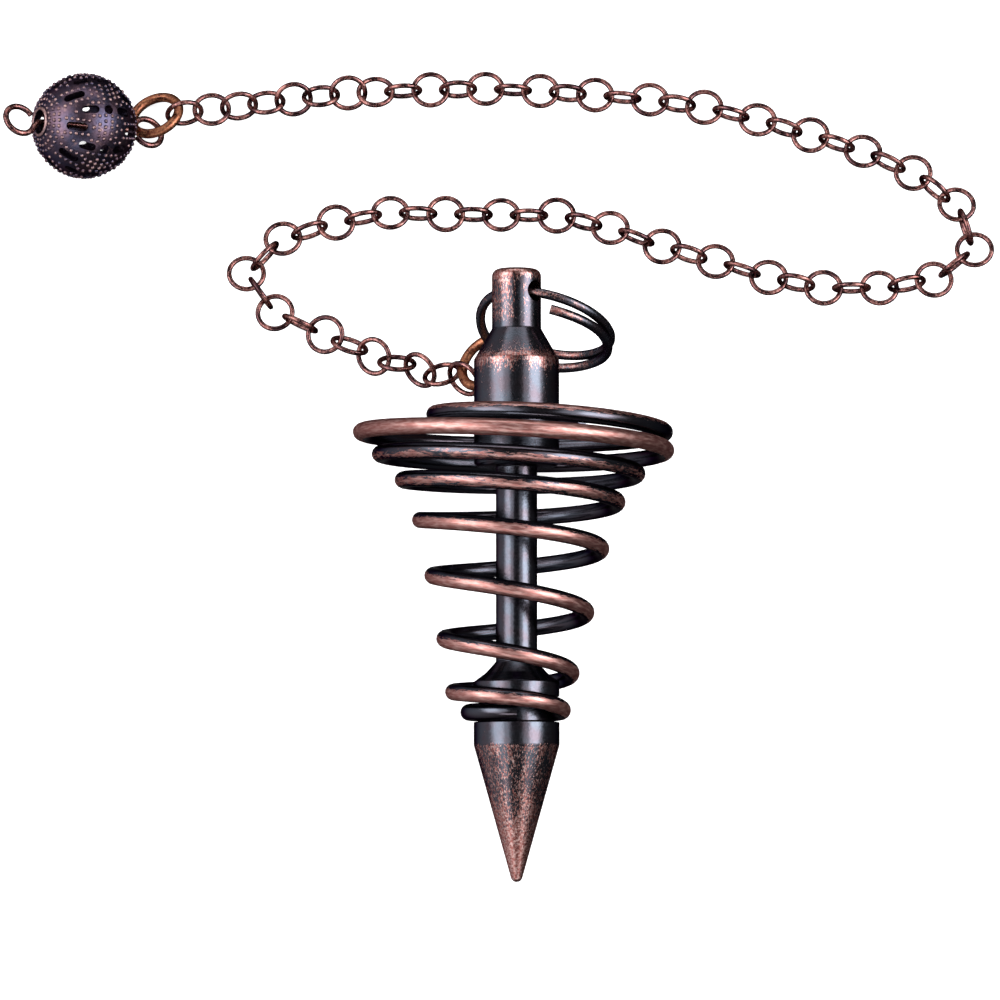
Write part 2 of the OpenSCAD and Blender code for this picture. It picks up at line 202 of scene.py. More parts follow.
# %% [markdown]
# The table is a plain white sheet, evenly lit until almost no shadow is left, so it gets a
# little light of its own. The metal doesn't mirror it: in the photograph the undersides
# and outlines of the metal are dark, as if black cards stood just outside the picture.

# %% Table
TABLE_HALF = 3
TABLE_GLOW = 0.8

floor_mesh = bpy.data.meshes.new("table_top")
shape = bmesh.new()
bmesh.ops.create_grid(shape, x_segments=1, y_segments=1, size=TABLE_HALF)
shape.to_mesh(floor_mesh)
shape.free()
table_top = bpy.data.objects.new("table_top", floor_mesh)
table_top.visible_glossy = False
bpy.context.collection.objects.link(table_top)
sheet_finish, _, sheet_shader = new_material("matt_white_paper", 0.0)
sheet_shader.inputs["Base Color"].default_value = paint("#f4f3f4")
sheet_shader.inputs["Roughness"].default_value = 0.9
sheet_shader.inputs["Emission Color"].default_value = paint("#ffffff")
sheet_shader.inputs["Emission Strength"].default_value = TABLE_GLOW
floor_mesh.materials.append(sheet_finish)
print("table reaches", TABLE_HALF, "m to each side")

# %% [markdown]
# The pendulum is brass, plated with copper, blackened in a chemical bath and then tumbled
# or brushed. Black stays in the hollows and on flat sides. Copper shows again on edges, on
# the outward side of the spring and as fine speckle on the cone. So each finish mixes the
# same two metals, and only the mask that divides them differs. The plating is a metal, so
# its colour is that of its reflections, and the specular tint darkens them towards the
# outlines, as the photograph shows. Noise of a sand grain's size breaks up tone and gloss.

# %% The two metals of the finish
BLACK_BATH = "#555963"
BROWN_BATH = "#59525a"
RUBBED_COPPER = "#aa6b65"
BRIGHT_COPPER = "#ecccc6"
EDGE_DARK = paint("#8a8088")
FINE_GRIT = 0.16
TONE_PATCH = 1.2
DENT_DEPTH = 0.03
GLOSS_SPREAD = 0.1
HALF = 0.5


def worn_through(tree, place, wish, grain, patch, grit_share, patch_share, softness):
    """Where copper shows: a wish from 0 to 1, broken up by fine grit and broad patches."""
    grit = add(tree, "ShaderNodeTexNoise",
               {"Vector": place, "Scale": 1 / grain, "Detail": 3.0, "Roughness": 0.65})
    broad = add(tree, "ShaderNodeTexNoise", {"Vector": place, "Scale": 1 / patch})
    ragged = add(tree, "ShaderNodeMath", {0: grit, 1: grit_share, 2: wish},
                 operation="MULTIPLY_ADD")
    ragged = add(tree, "ShaderNodeMath", {0: broad, 1: patch_share, 2: ragged},
                 operation="MULTIPLY_ADD")
    middle = HALF + HALF * (grit_share + patch_share)
    return add(tree, "ShaderNodeMapRange",
               {"Value": ragged, "From Min": middle - softness, "From Max": middle + softness},
               interpolation_type="SMOOTHSTEP")


def plated(tree, shader, place, bare, dark, copper, gloss, satin=0.18, relief=0.2):
    """Joins dark plating and bare copper by a mask; satin is how much duller copper is."""
    grit = add(tree, "ShaderNodeTexNoise", {"Vector": place, "Scale": 1 / FINE_GRIT,
                                            "Detail": 3.0})
    broad = add(tree, "ShaderNodeTexNoise", {"Vector": place, "Scale": 1 / TONE_PATCH})
    browner = add(tree, "ShaderNodeMapRange",
                  {"Value": broad, "From Min": 0.4, "From Max": 0.65})
    brighter = add(tree, "ShaderNodeMapRange",
                   {"Value": grit, "From Min": 0.42, "From Max": 0.75})
    coat = add(tree, "ShaderNodeMix", {0: browner, 6: paint(dark[0]), 7: paint(dark[1])},
               output=2, data_type="RGBA")
    metal = add(tree, "ShaderNodeMix", {0: brighter, 6: paint(copper[0]), 7: paint(copper[1])},
                output=2, data_type="RGBA")
    tree.links.new(add(tree, "ShaderNodeMix", {0: bare, 6: coat, 7: metal},
                       output=2, data_type="RGBA"), shader.inputs["Base Color"])
    dull = add(tree, "ShaderNodeMapRange", {"Value": grit, "From Min": 0.35, "From Max": 0.7,
                                            "To Min": gloss,
                                            "To Max": gloss + GLOSS_SPREAD})
    dull = add(tree, "ShaderNodeMath", {0: bare, 1: satin, 2: dull}, operation="MULTIPLY_ADD")
    tree.links.new(dull, shader.inputs["Roughness"])
    dents = add(tree, "ShaderNodeBump", {"Strength": relief, "Distance": DENT_DEPTH * MM,
                                         "Height": grit})
    tree.links.new(dents, shader.inputs["Normal"])
    shader.inputs["Specular Tint"].default_value = EDGE_DARK


print("black bath in linear light:", [round(share, 3) for share in paint(BLACK_BATH)[:3]])

# %% [markdown]
# The turned body lies leaning on its tip and on the spring. The same few sizes as in the
# CAD source give its outline, and the spring's table of rows gives the lean, because the
# widest turn is what touches the table.

# %% Sizes of the turned body
TIP_D = 0.88
CONE_LEN = 10.2
BAND_D = 6.4
BAND_LEN = 1.7
GROOVE_D = 5.3
GROOVE_LEN = 1.9
COLLAR_D = 6.4
COLLAR_LEN = 1.1
FLARE_LEN = 1.5
ROD_D = 3.1
ROD_LEN = 14.6
BARREL_D = 6.4
BARREL_LEN = 8.05
BARREL_EDGE = 0.25
SHOULDER_LEN = 2.35
STEM_D = 3.7
STEM_LEN = 4.5
STEM_ROUND = 0.55
HOLE_D = 1.6
HOLE_DROP = 1.75
HOLE_TURN = 52

band_z = CONE_LEN
groove_z = band_z + BAND_LEN
collar_z = groove_z + GROOVE_LEN
flare_z = collar_z + COLLAR_LEN
rod_z = flare_z + FLARE_LEN
barrel_z = rod_z + ROD_LEN
shoulder_z = barrel_z + BARREL_LEN
stem_z = shoulder_z + SHOULDER_LEN
top_z = stem_z + STEM_LEN
hole_z = top_z - HOLE_DROP
print("body length in mm:", round(top_z, 2))

# %% [markdown]
# The spring is one wire. Its rows give, by turns from the lower cut end, how far the wire
# has left the groove, how far it has flared, how high it has risen, and whether a turn
# lies on the one below. A smooth curve through the rows gives every point between them.

# %% The spring's rows
WIRE_D = 1.25
COIL_D = 23.3
COIL_H = 22.35
COIL_CLEAR = 0.1
TURN_GAP = 0.15

COIL_COLUMNS = ("turn", "leave", "flare", "rise", "stack")
coil_rows = np.array([
    (0, 0.14, 0, 0, 0), (0.25, 0.36, 0, 0, 0), (0.5, 0.15, 0, 0.002, 0),
    (0.75, 0.05, 0, 0.004, 0), (1, 1, 0.076, 0.044, 0), (1.25, 1, 0.103, 0.073, 0),
    (1.5, 1, 0.06, 0.1, 0), (1.75, 1, 0.02, 0.137, 0), (2.25, 1, 0.189, 0.262, 0),
    (2.75, 1, 0.165, 0.354, 0), (3.25, 1, 0.305, 0.488, 0), (3.75, 1, 0.31, 0.581, 0),
    (4.25, 1, 0.425, 0.687, 0), (4.75, 1, 0.467, 0.748, 0), (5.25, 1, 0.594, 0.831, 0),
    (5.75, 1, 0.66, 0.85, 0), (6.25, 1, 0.816, 0.924, 0), (6.75, 1, 0.94, 0.933, 0),
    (7.25, 1, 1, 0.935, 1), (7.75, 1, 0.93, 0.936, 1), (8, 1, 0.63, 0.975, 1),
    (8.25, 1, 0.27, 0.995, 1), (8.5, 1, 0.2, 1, 1), (8.7, 1, 0.17, 1, 1)])
seat_r = GROOVE_D / 2 + WIRE_D / 2 + COIL_CLEAR
pass_r = max(COLLAR_D, BAND_D) / 2 + WIRE_D / 2 + COIL_CLEAR
wide_r = COIL_D / 2
seat_z = groove_z + WIRE_D / 2 + COIL_CLEAR
stack_h = WIRE_D + TURN_GAP
last_row = len(coil_rows) - 1


def row_slope(row):
    """Slope of every column at a row, from its two neighbours."""
    before = coil_rows[max(row - 1, 0)]
    after = coil_rows[min(row + 1, last_row)]
    return (after - before) / (after[0] - before[0])


def coil_shares(turns):
    """All columns at a number of turns, on a smooth curve through the rows."""
    row = int(np.searchsorted(coil_rows[1:last_row, 0], turns, side="right"))
    step = coil_rows[row + 1, 0] - coil_rows[row, 0]
    t = (turns - coil_rows[row, 0]) / step
    return ((2 * t ** 3 - 3 * t ** 2 + 1) * coil_rows[row]
            + (t ** 3 - 2 * t ** 2 + t) * step * row_slope(row)
            + (3 * t ** 2 - 2 * t ** 3) * coil_rows[row + 1]
            + (t ** 3 - t ** 2) * step * row_slope(row + 1))


def coil_point(turns):
    """A point of the wire's middle, with the body's axis upright."""
    shares = dict(zip(COIL_COLUMNS, coil_shares(turns)))
    radius = (seat_r + shares["leave"] * (pass_r - seat_r)
              + shares["flare"] * (wide_r - pass_r))
    height = seat_z + shares["rise"] * (COIL_H - stack_h) + shares["stack"] * stack_h
    angle = 2 * math.pi * turns
    return np.array([-radius * math.sin(angle), -radius * math.cos(angle), height])


# %% [markdown]
# To lie on the table, the upright body is tipped until its round tip and the lowest point
# of the wide turns both touch. Each point of those turns would need its own lean, and the
# largest one wins.

# %% The lean of the body
TIP_PLACE = np.array([1.24, -31.25, 0])
WIDE_TURNS = np.arange(6.4, 7.9, 0.02)


def lean_on(point):
    """The lean at which this wire point and the tip both touch the table."""
    along = point[2] - TIP_D / 2
    return (math.atan2(point[1], along)
            + math.asin((WIRE_D - TIP_D) / 2 / math.hypot(along, point[1])))


lean = max(lean_on(coil_point(turns)) for turns in WIDE_TURNS)
tip_lift = TIP_D / 2 * (1 - math.sin(lean))


def laid(point):
    """A point of the upright body, once it lies on the table, in the model's frame."""
    return TIP_PLACE - TABLE_MID + np.array([
        point[0],
        point[1] * math.sin(lean) + point[2] * math.cos(lean),
        tip_lift - point[1] * math.cos(lean) + point[2] * math.sin(lean)])


lay_down = (Matrix.Translation(Vector(laid(np.zeros(3)) * MM))
            @ Matrix.Rotation(lean - math.pi / 2, 4, "X") @ Matrix.Scale(MM, 4))
print("lean in degrees:", round(math.degrees(lean), 2))

# %% [markdown]
# Finished pieces all go through one function: it makes the object at the origin, shades
# its faces smooth, gives it its metal, names it after the CAD node that it stands for and
# hides that node. A second one spins an outline, as the body and every ring need it.

# %% Finishing a piece


def finish_piece(name, mesh, material, flat_over=None):
    """Links a mesh as a piece that replaces the CAD node of the same name."""
    mesh.materials.clear()
    mesh.materials.append(material)
    mesh.polygons.foreach_set("use_smooth", [True] * len(mesh.polygons))
    if flat_over is not None:
        mesh.set_sharp_from_angle(angle=math.radians(flat_over))
    piece = bpy.data.objects.new(name + "_finish", mesh)
    bpy.context.collection.objects.link(piece)
    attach(piece, "root")
    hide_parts(name)
    print(name, "faces:", len(mesh.polygons))


def spin_round(shape, steps):
    """Spins all that the bmesh holds once round Z and welds the seam."""
    bmesh.ops.spin(shape, geom=shape.verts[:] + shape.edges[:] + shape.faces[:],
                   cent=(0, 0, 0), axis=(0, 0, 1), dvec=(0, 0, 0), angle=2 * math.pi,
                   steps=steps, use_merge=True, use_duplicate=False)


# %% [markdown]
# The body was turned on a lathe, so it is made the way a lathe makes it: a half outline is
# spun about the axis. Real turned edges are never knife sharp, so the corners of the
# outline are rounded by a small bevel first. That is simpler than a bevel on the finished
# solid, which would have to find its edges again.

# %% Turned body
EDGE_ROUND = 0.09
LATHE_STEPS = 160
ARC_POINTS = 9
FLARE_HOLLOW = 0.08
WELD = 0.0005

# The cone's side leaves the round tip where it is tangent to it
cone_far = math.hypot(BAND_D / 2, CONE_LEN - TIP_D / 2)
cone_turn = (math.degrees(math.atan2(CONE_LEN - TIP_D / 2, BAND_D / 2))
             - math.degrees(math.acos(TIP_D / 2 / cone_far)))


def arc(x, z, radius, start, end, steps):
    """Points of an arc, in the plane of the outline."""
    return [(x + radius * math.cos(math.radians(angle)),
             z + radius * math.sin(math.radians(angle)))
            for angle in np.linspace(start, end, steps)]


flare_mid = ((COLLAR_D + ROD_D) / 4 - FLARE_HOLLOW, (flare_z + rod_z) / 2 - FLARE_HOLLOW)
corners = [(BAND_D / 2, band_z), (BAND_D / 2, groove_z), (GROOVE_D / 2, groove_z),
           (GROOVE_D / 2, collar_z), (COLLAR_D / 2, collar_z), (COLLAR_D / 2, flare_z),
           flare_mid, (ROD_D / 2, rod_z), (ROD_D / 2, barrel_z),
           (BARREL_D / 2 - BARREL_EDGE, barrel_z), (BARREL_D / 2, barrel_z + BARREL_EDGE),
           (BARREL_D / 2, shoulder_z), (STEM_D / 2, stem_z)]
outline = arc(0, TIP_D / 2, TIP_D / 2, -90, cone_turn, ARC_POINTS) + corners
outline += arc(STEM_D / 2 - STEM_ROUND, top_z - STEM_ROUND, STEM_ROUND, 0, 90, ARC_POINTS)
outline += [(0, top_z)]
shape = bmesh.new()
ring = [shape.verts.new((x, 0, z)) for x, z in outline]
for first, second in zip(ring, ring[1:]):
    shape.edges.new((first, second))
turned_corners = ring[ARC_POINTS:ARC_POINTS + len(corners)]
bmesh.ops.bevel(shape, geom=turned_corners, offset=EDGE_ROUND, offset_type="OFFSET",
                affect="VERTICES", segments=4, profile=0.5, material=-1)
spin_round(shape, LATHE_STEPS)
bmesh.ops.remove_doubles(shape, verts=shape.verts[:], dist=WELD)
bmesh.ops.recalc_face_normals(shape, faces=shape.faces[:])
body_mesh = bpy.data.meshes.new("turned_body_finish")
shape.to_mesh(body_mesh)
shape.free()
print("body faces before drilling:", len(body_mesh.polygons))

# %% [markdown]
# The cross hole is drilled with a boolean, as a drill would do it. The cutter is a plain
# cylinder, turned about the body's axis to the side where the hole is seen. The exact
# solver is slower than the fast one, but it leaves a clean edge where the cutter meets the
# many narrow faces of the stem. The bead's slots are cut by the same function later on.

# %% Cross hole


def cut_with(mesh, cutter_mesh):
    """The mesh less the cutter, as a new mesh."""
    work = bpy.data.objects.new("work", mesh)
    tool = bpy.data.objects.new("tool", cutter_mesh)
    bpy.context.collection.objects.link(work)
    bpy.context.collection.objects.link(tool)
    cut = work.modifiers.new("cut", "BOOLEAN")
    cut.operation = "DIFFERENCE"
    cut.solver = "EXACT"
    cut.object = tool
    depsgraph = bpy.context.evaluated_depsgraph_get()
    result = bpy.data.meshes.new_from_object(work.evaluated_get(depsgraph))
    bpy.data.objects.remove(work)
    bpy.data.objects.remove(tool)
    return result


drill = bmesh.new()
bmesh.ops.create_cone(drill, cap_ends=True, segments=64, radius1=HOLE_D / 2,
                      radius2=HOLE_D / 2, depth=2 * STEM_D,
                      matrix=(Matrix.Translation((0, 0, hole_z))
                              @ Matrix.Rotation(math.radians(HOLE_TURN), 4, "Z")
                              @ Matrix.Rotation(math.pi / 2, 4, "X")))
drill_mesh = bpy.data.meshes.new("drill")
drill.to_mesh(drill_mesh)
drill.free()
body_mesh = cut_with(body_mesh, drill_mesh)
body_mesh.transform(lay_down)
print("body faces after drilling:", len(body_mesh.polygons))

# %% [markdown]
# Blackened brass, bright turned. Copper shows through where hands and the tumbler rub: on
# the tip, as fine streaks over the cone, as speckle on the shoulder's edge, on the left of
# the stem and round its top. The wish for copper is a profile along the body's own axis, so
# a mapping node first turns the object's coordinates until Z runs from the tip to the stem.

# %% Finish of the turned body
STREAK = 3.0
LEFT_SIDE_RUB = 0.22
LEFT_FROM = 0.3
TOP_BLEND = 0.4

body_finish, tree, shader = new_material("blackened_copper_plate_bright_turned", 1.0)
place = add(tree, "ShaderNodeTexCoord", {}, output="Object")
axial = add(tree, "ShaderNodeMapping",
            {"Vector": place, "Location": Vector(laid(np.zeros(3)) * MM),
             "Rotation": (lean - math.pi / 2, 0, 0), "Scale": [MM] * 3},
            vector_type="TEXTURE")
height = add(tree, "ShaderNodeSeparateXYZ", {0: axial}, output=2)
left = height.node.outputs[0]
share = add(tree, "ShaderNodeMath", {0: height, 1: top_z}, operation="DIVIDE")
rubbing = add(tree, "ShaderNodeValToRGB", {0: share})
# Millimetres above the tip, and how much copper is wished for there
rub_stops = [(0, 1), (0.8, 1), (1.6, 0.84), (3, 0.68), (6, 0.5), (8.5, 0.4), (10.1, 0.52),
             (10.4, 0.08), (collar_z, 0.02), (barrel_z, 0.02), (barrel_z + 2.5, 0.12),
             (shoulder_z - 1.2, 0.24), (shoulder_z - 0.5, 0.46), (shoulder_z + 0.15, 0.62),
             (shoulder_z + 0.6, 0.36), (stem_z - 0.6, 0.16), (stem_z + 0.3, 0.1),
             (stem_z + 0.8, 0.26), (top_z - 0.9, 0.36), (top_z - 0.25, 0.74)]
ramp = rubbing.node.color_ramp
while len(ramp.elements) < len(rub_stops):
    ramp.elements.new(HALF)
for element, (stop, amount) in zip(ramp.elements, rub_stops):
    element.position = stop / top_z
    element.color = (amount, amount, amount, 1)
on_top_part = add(tree, "ShaderNodeMapRange",
                  {"Value": height, "From Min": stem_z - TOP_BLEND,
                   "From Max": stem_z + TOP_BLEND})
left_rub = add(tree, "ShaderNodeMapRange",
               {"Value": left, "From Min": LEFT_FROM, "From Max": -STEM_D / 2,
                "To Max": LEFT_SIDE_RUB})
wish = add(tree, "ShaderNodeMath", {0: on_top_part, 1: left_rub, 2: rubbing},
           operation="MULTIPLY_ADD")
streaked = add(tree, "ShaderNodeMapping", {"Vector": axial, "Scale": (1, 1, 1 / STREAK)})
bare = worn_through(tree, streaked, wish, grain=0.1, patch=0.8, grit_share=1.5,
                    patch_share=0.5, softness=0.08)
plated(tree, shader, axial, bare, (BLACK_BATH, BROWN_BATH),
       (RUBBED_COPPER, BRIGHT_COPPER), gloss=0.16, satin=0.1)
finish_piece("turned_body", body_mesh, body_finish, flat_over=35)

# %% [markdown]
# Round wire could be swept by extruding a circle many times, but a curve with a round
# bevel does the same with an even twist, and is then turned into a mesh. A finder of
# nearest points then tells each vertex how far along the wire and which way out it sits,
# and that is stored as attributes, which a shader can read.

# %% Drawing a wire


def drawn_wire(name, points, thickness, roundness):
    """A round wire through points in millimetres, with flat cut ends."""
    curve = bpy.data.curves.new(name, "CURVE")
    curve.dimensions = "3D"
    curve.bevel_depth = thickness / 2 * MM
    curve.bevel_resolution = roundness
    curve.use_fill_caps = True
    line = curve.splines.new("POLY")
    line.points.add(len(points) - 1)
    line.points.foreach_set("co", np.c_[np.array(points) * MM,
                                        np.ones(len(points))].ravel())
    holder = bpy.data.objects.new(name, curve)
    bpy.context.collection.objects.link(holder)
    depsgraph = bpy.context.evaluated_depsgraph_get()
    mesh = bpy.data.meshes.new_from_object(holder.evaluated_get(depsgraph))
    bpy.data.objects.remove(holder)
    return mesh


def mark(mesh, name, values):
    """Stores one number per vertex for the shader."""
    data = mesh.attributes.new(name, "FLOAT", "POINT")
    data.data.foreach_set("value", np.asarray(values, float))


def ring_offsets(mesh, points):
    """For each vertex its nearest middle point's index and the way out from it."""
    finder = KDTree(len(points))
    for index, point in enumerate(points):
        finder.insert(point, index)
    finder.balance()
    places = np.empty(3 * len(mesh.vertices))
    mesh.vertices.foreach_get("co", places)
    places = places.reshape(-1, 3) / MM
    nearest = np.array([finder.find(place)[1] for place in places])
    out = places - np.array(points)[nearest]
    return nearest, out / np.linalg.norm(out, axis=1)[:, None]


# %% [markdown]
# The spring's wire was wound, blackened and tumbled as one piece. Its widest turn rubbed on
# everything and is copper all over. The turns below kept a band of copper on the outward
# side, narrower near the top, the curled end kept a thin line, and the first half turn, in
# the groove, stayed black. Each vertex stores how much copper it should show, and its place
# along and round the wire.

# %% Spring
STEPS_A_TURN = 72
coil_turns = coil_rows[last_row, 0]
coil_steps = round(coil_turns * STEPS_A_TURN)
coil_line = [laid(coil_point(coil_turns * step / coil_steps))
             for step in range(coil_steps + 1)]
axis_foot = laid(np.zeros(3))
axis_way = unit(laid(UP) - axis_foot)
# Turns from the lower end, tilt of the copper band towards the stem, and how squarely a
# spot has to face it to be bare
COIL_RUB = np.array([(0, -0.3, 2.4), (0.55, -0.3, 2.4), (0.8, -0.5, 0.64), (4.3, -0.5, 0.68),
                     (4.75, -0.4, 0.84), (5.3, -0.4, 0.88), (5.7, -0.7, 0.93),
                     (6.35, -0.6, 0.92), (6.65, -0.1, 0.2), (6.8, -0.1, -0.1),
                     (7.3, -0.1, -0.1), (7.45, 0.3, 0.6), (7.7, 1.7, 0.84), (8.7, 1.7, 0.84)])
BAND_EDGE = 1.6


def coil_rub(nearest, out):
    """The wish for copper at each vertex of the spring, and its angle round the wire."""
    turns = nearest / coil_steps * coil_turns
    arm = np.array(coil_line)[nearest] - axis_foot
    radial = arm - (arm @ axis_way)[:, None] * axis_way
    radial /= np.linalg.norm(radial, axis=1)[:, None]
    tilt = np.interp(turns, COIL_RUB[:, 0], COIL_RUB[:, 1])
    way = radial + tilt[:, None] * axis_way
    way /= np.linalg.norm(way, axis=1)[:, None]
    facing = (out * way).sum(axis=1)
    around = np.arctan2(out @ axis_way, (out * radial).sum(axis=1))
    least = np.interp(turns, COIL_RUB[:, 0], COIL_RUB[:, 2])
    return HALF + BAND_EDGE * (facing - least), around


coil_mesh = drawn_wire("spring_coil_finish", coil_line, WIRE_D, 6)
nearest, out = ring_offsets(coil_mesh, coil_line)
copper_wish, around = coil_rub(nearest, out)
mark(coil_mesh, "copper_wish", copper_wish)
step_lengths = np.linalg.norm(np.diff(coil_line, axis=0), axis=1)
run = np.concatenate([[0], np.cumsum(step_lengths)])[nearest]
mark(coil_mesh, "run", run)
mark(coil_mesh, "around", around * WIRE_D / 2)
print("spring wire in mm:", round(step_lengths.sum(), 1))

# %% [markdown]
# Brass spring wire, copper plated and blackened. Drawing leaves fine lines along a wire, so
# the flecks of black are drawn out too: the noise reads the stored places along and round
# it, with the length shrunk. The copper is pinker and more satin than on the body.

# %% Finish of the spring
DRAWN_OUT = 5
SPRING_COPPER = ("#b67c76", "#e6bcb4")

coil_finish, tree, shader = new_material("blackened_copper_plate_drawn_wire", 1.0)
stored = [add(tree, "ShaderNodeAttribute", {}, output="Fac", attribute_name=name)
          for name in ("run", "around", "copper_wish")]
shrunk = add(tree, "ShaderNodeMath", {0: stored[0], 1: 1 / DRAWN_OUT}, operation="MULTIPLY")
along = add(tree, "ShaderNodeCombineXYZ", {0: shrunk, 1: stored[1]})
bare = worn_through(tree, along, stored[2], grain=0.13, patch=0.7, grit_share=1.5,
                    patch_share=0.9, softness=0.14)
plated(tree, shader, along, bare, (BLACK_BATH, BROWN_BATH), SPRING_COPPER, gloss=0.15,
       satin=0.2)
finish_piece("spring_coil", coil_mesh, coil_finish, flat_over=50)

# %% [markdown]
# The split ring is a flat double coil of wire, like a key ring. One strand passes through
# the stem's cross hole. The two strands lie side by side, but the jump ring pulls them a
# little apart where it hangs, and the free end is splayed. Its angles are in degrees round
# the ring. The side of the wire that faces up, to the left and to the front is marked for
# more copper, which is a painted highlight on the lit upper side.

# %% Split ring
SPLIT_D = 10
SPLIT_WIRE = 0.74
SPLIT_GAP = 0.12
SPLIT_SPLAY = 0.25
SPLIT_CALM = 20
SPLIT_YAW = math.radians(-14)
SPLIT_FROM = 84
SPLIT_TO = -450
SPLIT_HOLE = -241
SPLIT_LEAVE = -125
SPLIT_JOIN = -225
SPLIT_PULL = 0.55
PULL_AT = -122
PULL_SPAN = 95
SPLIT_STEPS = 220
# More copper on the side of the wire that faces this way is a painted highlight
SPLIT_HIGHLIGHT_WAY = unit([-0.2, -0.2, 1])

split_side = np.array([math.cos(SPLIT_YAW), math.sin(SPLIT_YAW), 0])
split_face = np.array([-math.sin(SPLIT_YAW), math.cos(SPLIT_YAW), 0])
split_bow = (STEM_D / 2) ** 2 / (2 * SPLIT_D)


def split_ray(degrees):
    """Direction from the ring's middle to an angle of its wire."""
    angle = math.radians(degrees)
    return math.cos(angle) * split_side + math.sin(angle) * UP


split_mid = laid((0, 0, hole_z)) - (SPLIT_D / 2 - split_bow) * split_ray(SPLIT_HOLE)


def split_point(degrees):
    """A point of the wire's middle, which changes strand once."""
    along = (SPLIT_LEAVE - degrees) / (SPLIT_LEAVE - SPLIT_JOIN)
    splay = (degrees - SPLIT_CALM) / (SPLIT_FROM - SPLIT_CALM)
    pull = 1 - abs(degrees - PULL_AT) / PULL_SPAN
    aside = ((SPLIT_WIRE + SPLIT_GAP) * (1 - ease(along)) + SPLIT_SPLAY * ease(splay)
             + SPLIT_PULL * ease(pull))
    return split_mid + SPLIT_D / 2 * split_ray(degrees) - aside * split_face


split_line = [split_point(degrees)
              for degrees in np.linspace(SPLIT_FROM, SPLIT_TO, SPLIT_STEPS)]
split_mesh = drawn_wire("split_ring_finish", split_line, SPLIT_WIRE, 5)
nearest, out = ring_offsets(split_mesh, split_line)
# How squarely each spot faces that way is stored as its wish for copper, which paints the
# highlight
mark(split_mesh, "copper_wish", out @ SPLIT_HIGHLIGHT_WAY)
print("split ring wire points:", len(split_line))

# %% [markdown]
# Every thin wire piece is copper plated brass that was darkened in a bath, so one recipe
# serves the rings, the chain and the eye pin. Its choices are how much copper shows, how
# orange it is and how glossy. The jump rings were hardly darkened, so they look orange.

# %% Finish of rings, chain and pin


def wire_finish(name, dark, copper, spread, gloss=0.2, painted_highlight=0.0):
    """Copper plate over wire, darkened in soft patches; spread says how much is bare."""
    # Where asked for, the marked side of the wire shows more copper: a painted highlight on
    # its lit side
    material, tree, shader = new_material(name, 1.0)
    place = add(tree, "ShaderNodeTexCoord", {}, output="Object")
    place = add(tree, "ShaderNodeMapping", {"Vector": place, "Scale": [1 / MM] * 3})
    wish = spread
    if painted_highlight:
        side = add(tree, "ShaderNodeAttribute", {}, output="Fac", attribute_name="copper_wish")
        wish = add(tree, "ShaderNodeMath", {0: side, 1: painted_highlight, 2: spread},
                   operation="MULTIPLY_ADD")
    bare = worn_through(tree, place, wish, grain=0.13, patch=0.9, grit_share=0.8,
                        patch_share=0.8, softness=0.14)
    plated(tree, shader, place, bare, dark, copper, gloss)
    return material


# The split ring's upper, lit side gets more copper as a painted highlight; its other copper
# patches are wear
split_finish = wire_finish("blackened_copper_plate_ring_wire", (BLACK_BATH, BROWN_BATH),
                           (RUBBED_COPPER, BRIGHT_COPPER), spread=-0.08, painted_highlight=0.6)
ring_finish = wire_finish("copper_plate_jump_ring", ("#6b4238", "#7a4c3e"),
                          ("#a0624a", "#dc9c74"), spread=0.6)
chain_finish = wire_finish("antique_copper_chain", ("#463034", "#5c4044"),
                           ("#985f59", "#dcaaa2"), spread=0.48, gloss=0.14)
finish_piece("split_ring", split_mesh, split_finish, flat_over=50)

# %% [markdown]
# A link or a jump ring is a plain torus. The CAD node already holds the place and the
# axis of each one, so they are read from it: the loose rings of a merged copy are parted,
# the middle of each is its mean, and its axis is the direction in which it is thinnest.

# %% Where the rings lie
SAME_SPOT = 0.0000005


def ring_places(node):
    """Middle and axis of each loose ring of a CAD node, in metres."""
    merged = bmesh.new()
    merged.from_mesh(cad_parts[node].data)
    bmesh.ops.remove_doubles(merged, verts=merged.verts[:], dist=SAME_SPOT)
    mesh = bpy.data.meshes.new("merged_" + node)
    merged.to_mesh(mesh)
    merged.free()
    places = np.empty(3 * len(mesh.vertices))
    mesh.vertices.foreach_get("co", places)
    places = places.reshape(-1, 3)
    links = np.empty(2 * len(mesh.edges), int)
    mesh.edges.foreach_get("vertices", links)
    links = links.reshape(-1, 2)
    # Every vertex takes the lowest label next to it, until each ring has one label
    label = np.arange(len(places))
    while True:
        lower = np.minimum(label[links[:, 0]], label[links[:, 1]])
        fresh = label.copy()
        np.minimum.at(fresh, links[:, 0], lower)
        np.minimum.at(fresh, links[:, 1], lower)
        fresh = fresh[fresh]
        if (fresh == label).all():
            break
        label = fresh
    found = []
    for one in np.unique(label):
        points = places[label == one]
        middle = points.mean(axis=0)
        directions = np.linalg.svd(points - middle, full_matrices=False)[2]
        found.append((middle, directions[2]))
    bpy.data.meshes.remove(mesh)
    return found


# %% [markdown]
# Blender's own torus is an operator of the editor, not of bmesh, so a ring is spun from a
# circle instead. One ring is made as a pattern and copied to every place, which keeps the
# links exactly alike, as a chain machine makes them.

# %% Rings
SEAM_WELD = 0.0000001


def torus(middle_size, wire_size, steps, sides):
    """A closed ring about Z at the origin, sized to the wire's middle, as a bmesh."""
    shape = bmesh.new()
    bmesh.ops.create_circle(shape, cap_ends=False, segments=sides, radius=wire_size / 2,
                            matrix=(Matrix.Translation((middle_size / 2, 0, 0))
                                    @ Matrix.Rotation(math.pi / 2, 4, "X")))
    spin_round(shape, steps)
    bmesh.ops.remove_doubles(shape, verts=shape.verts[:], dist=SEAM_WELD)
    bmesh.ops.recalc_face_normals(shape, faces=shape.faces[:])
    return shape


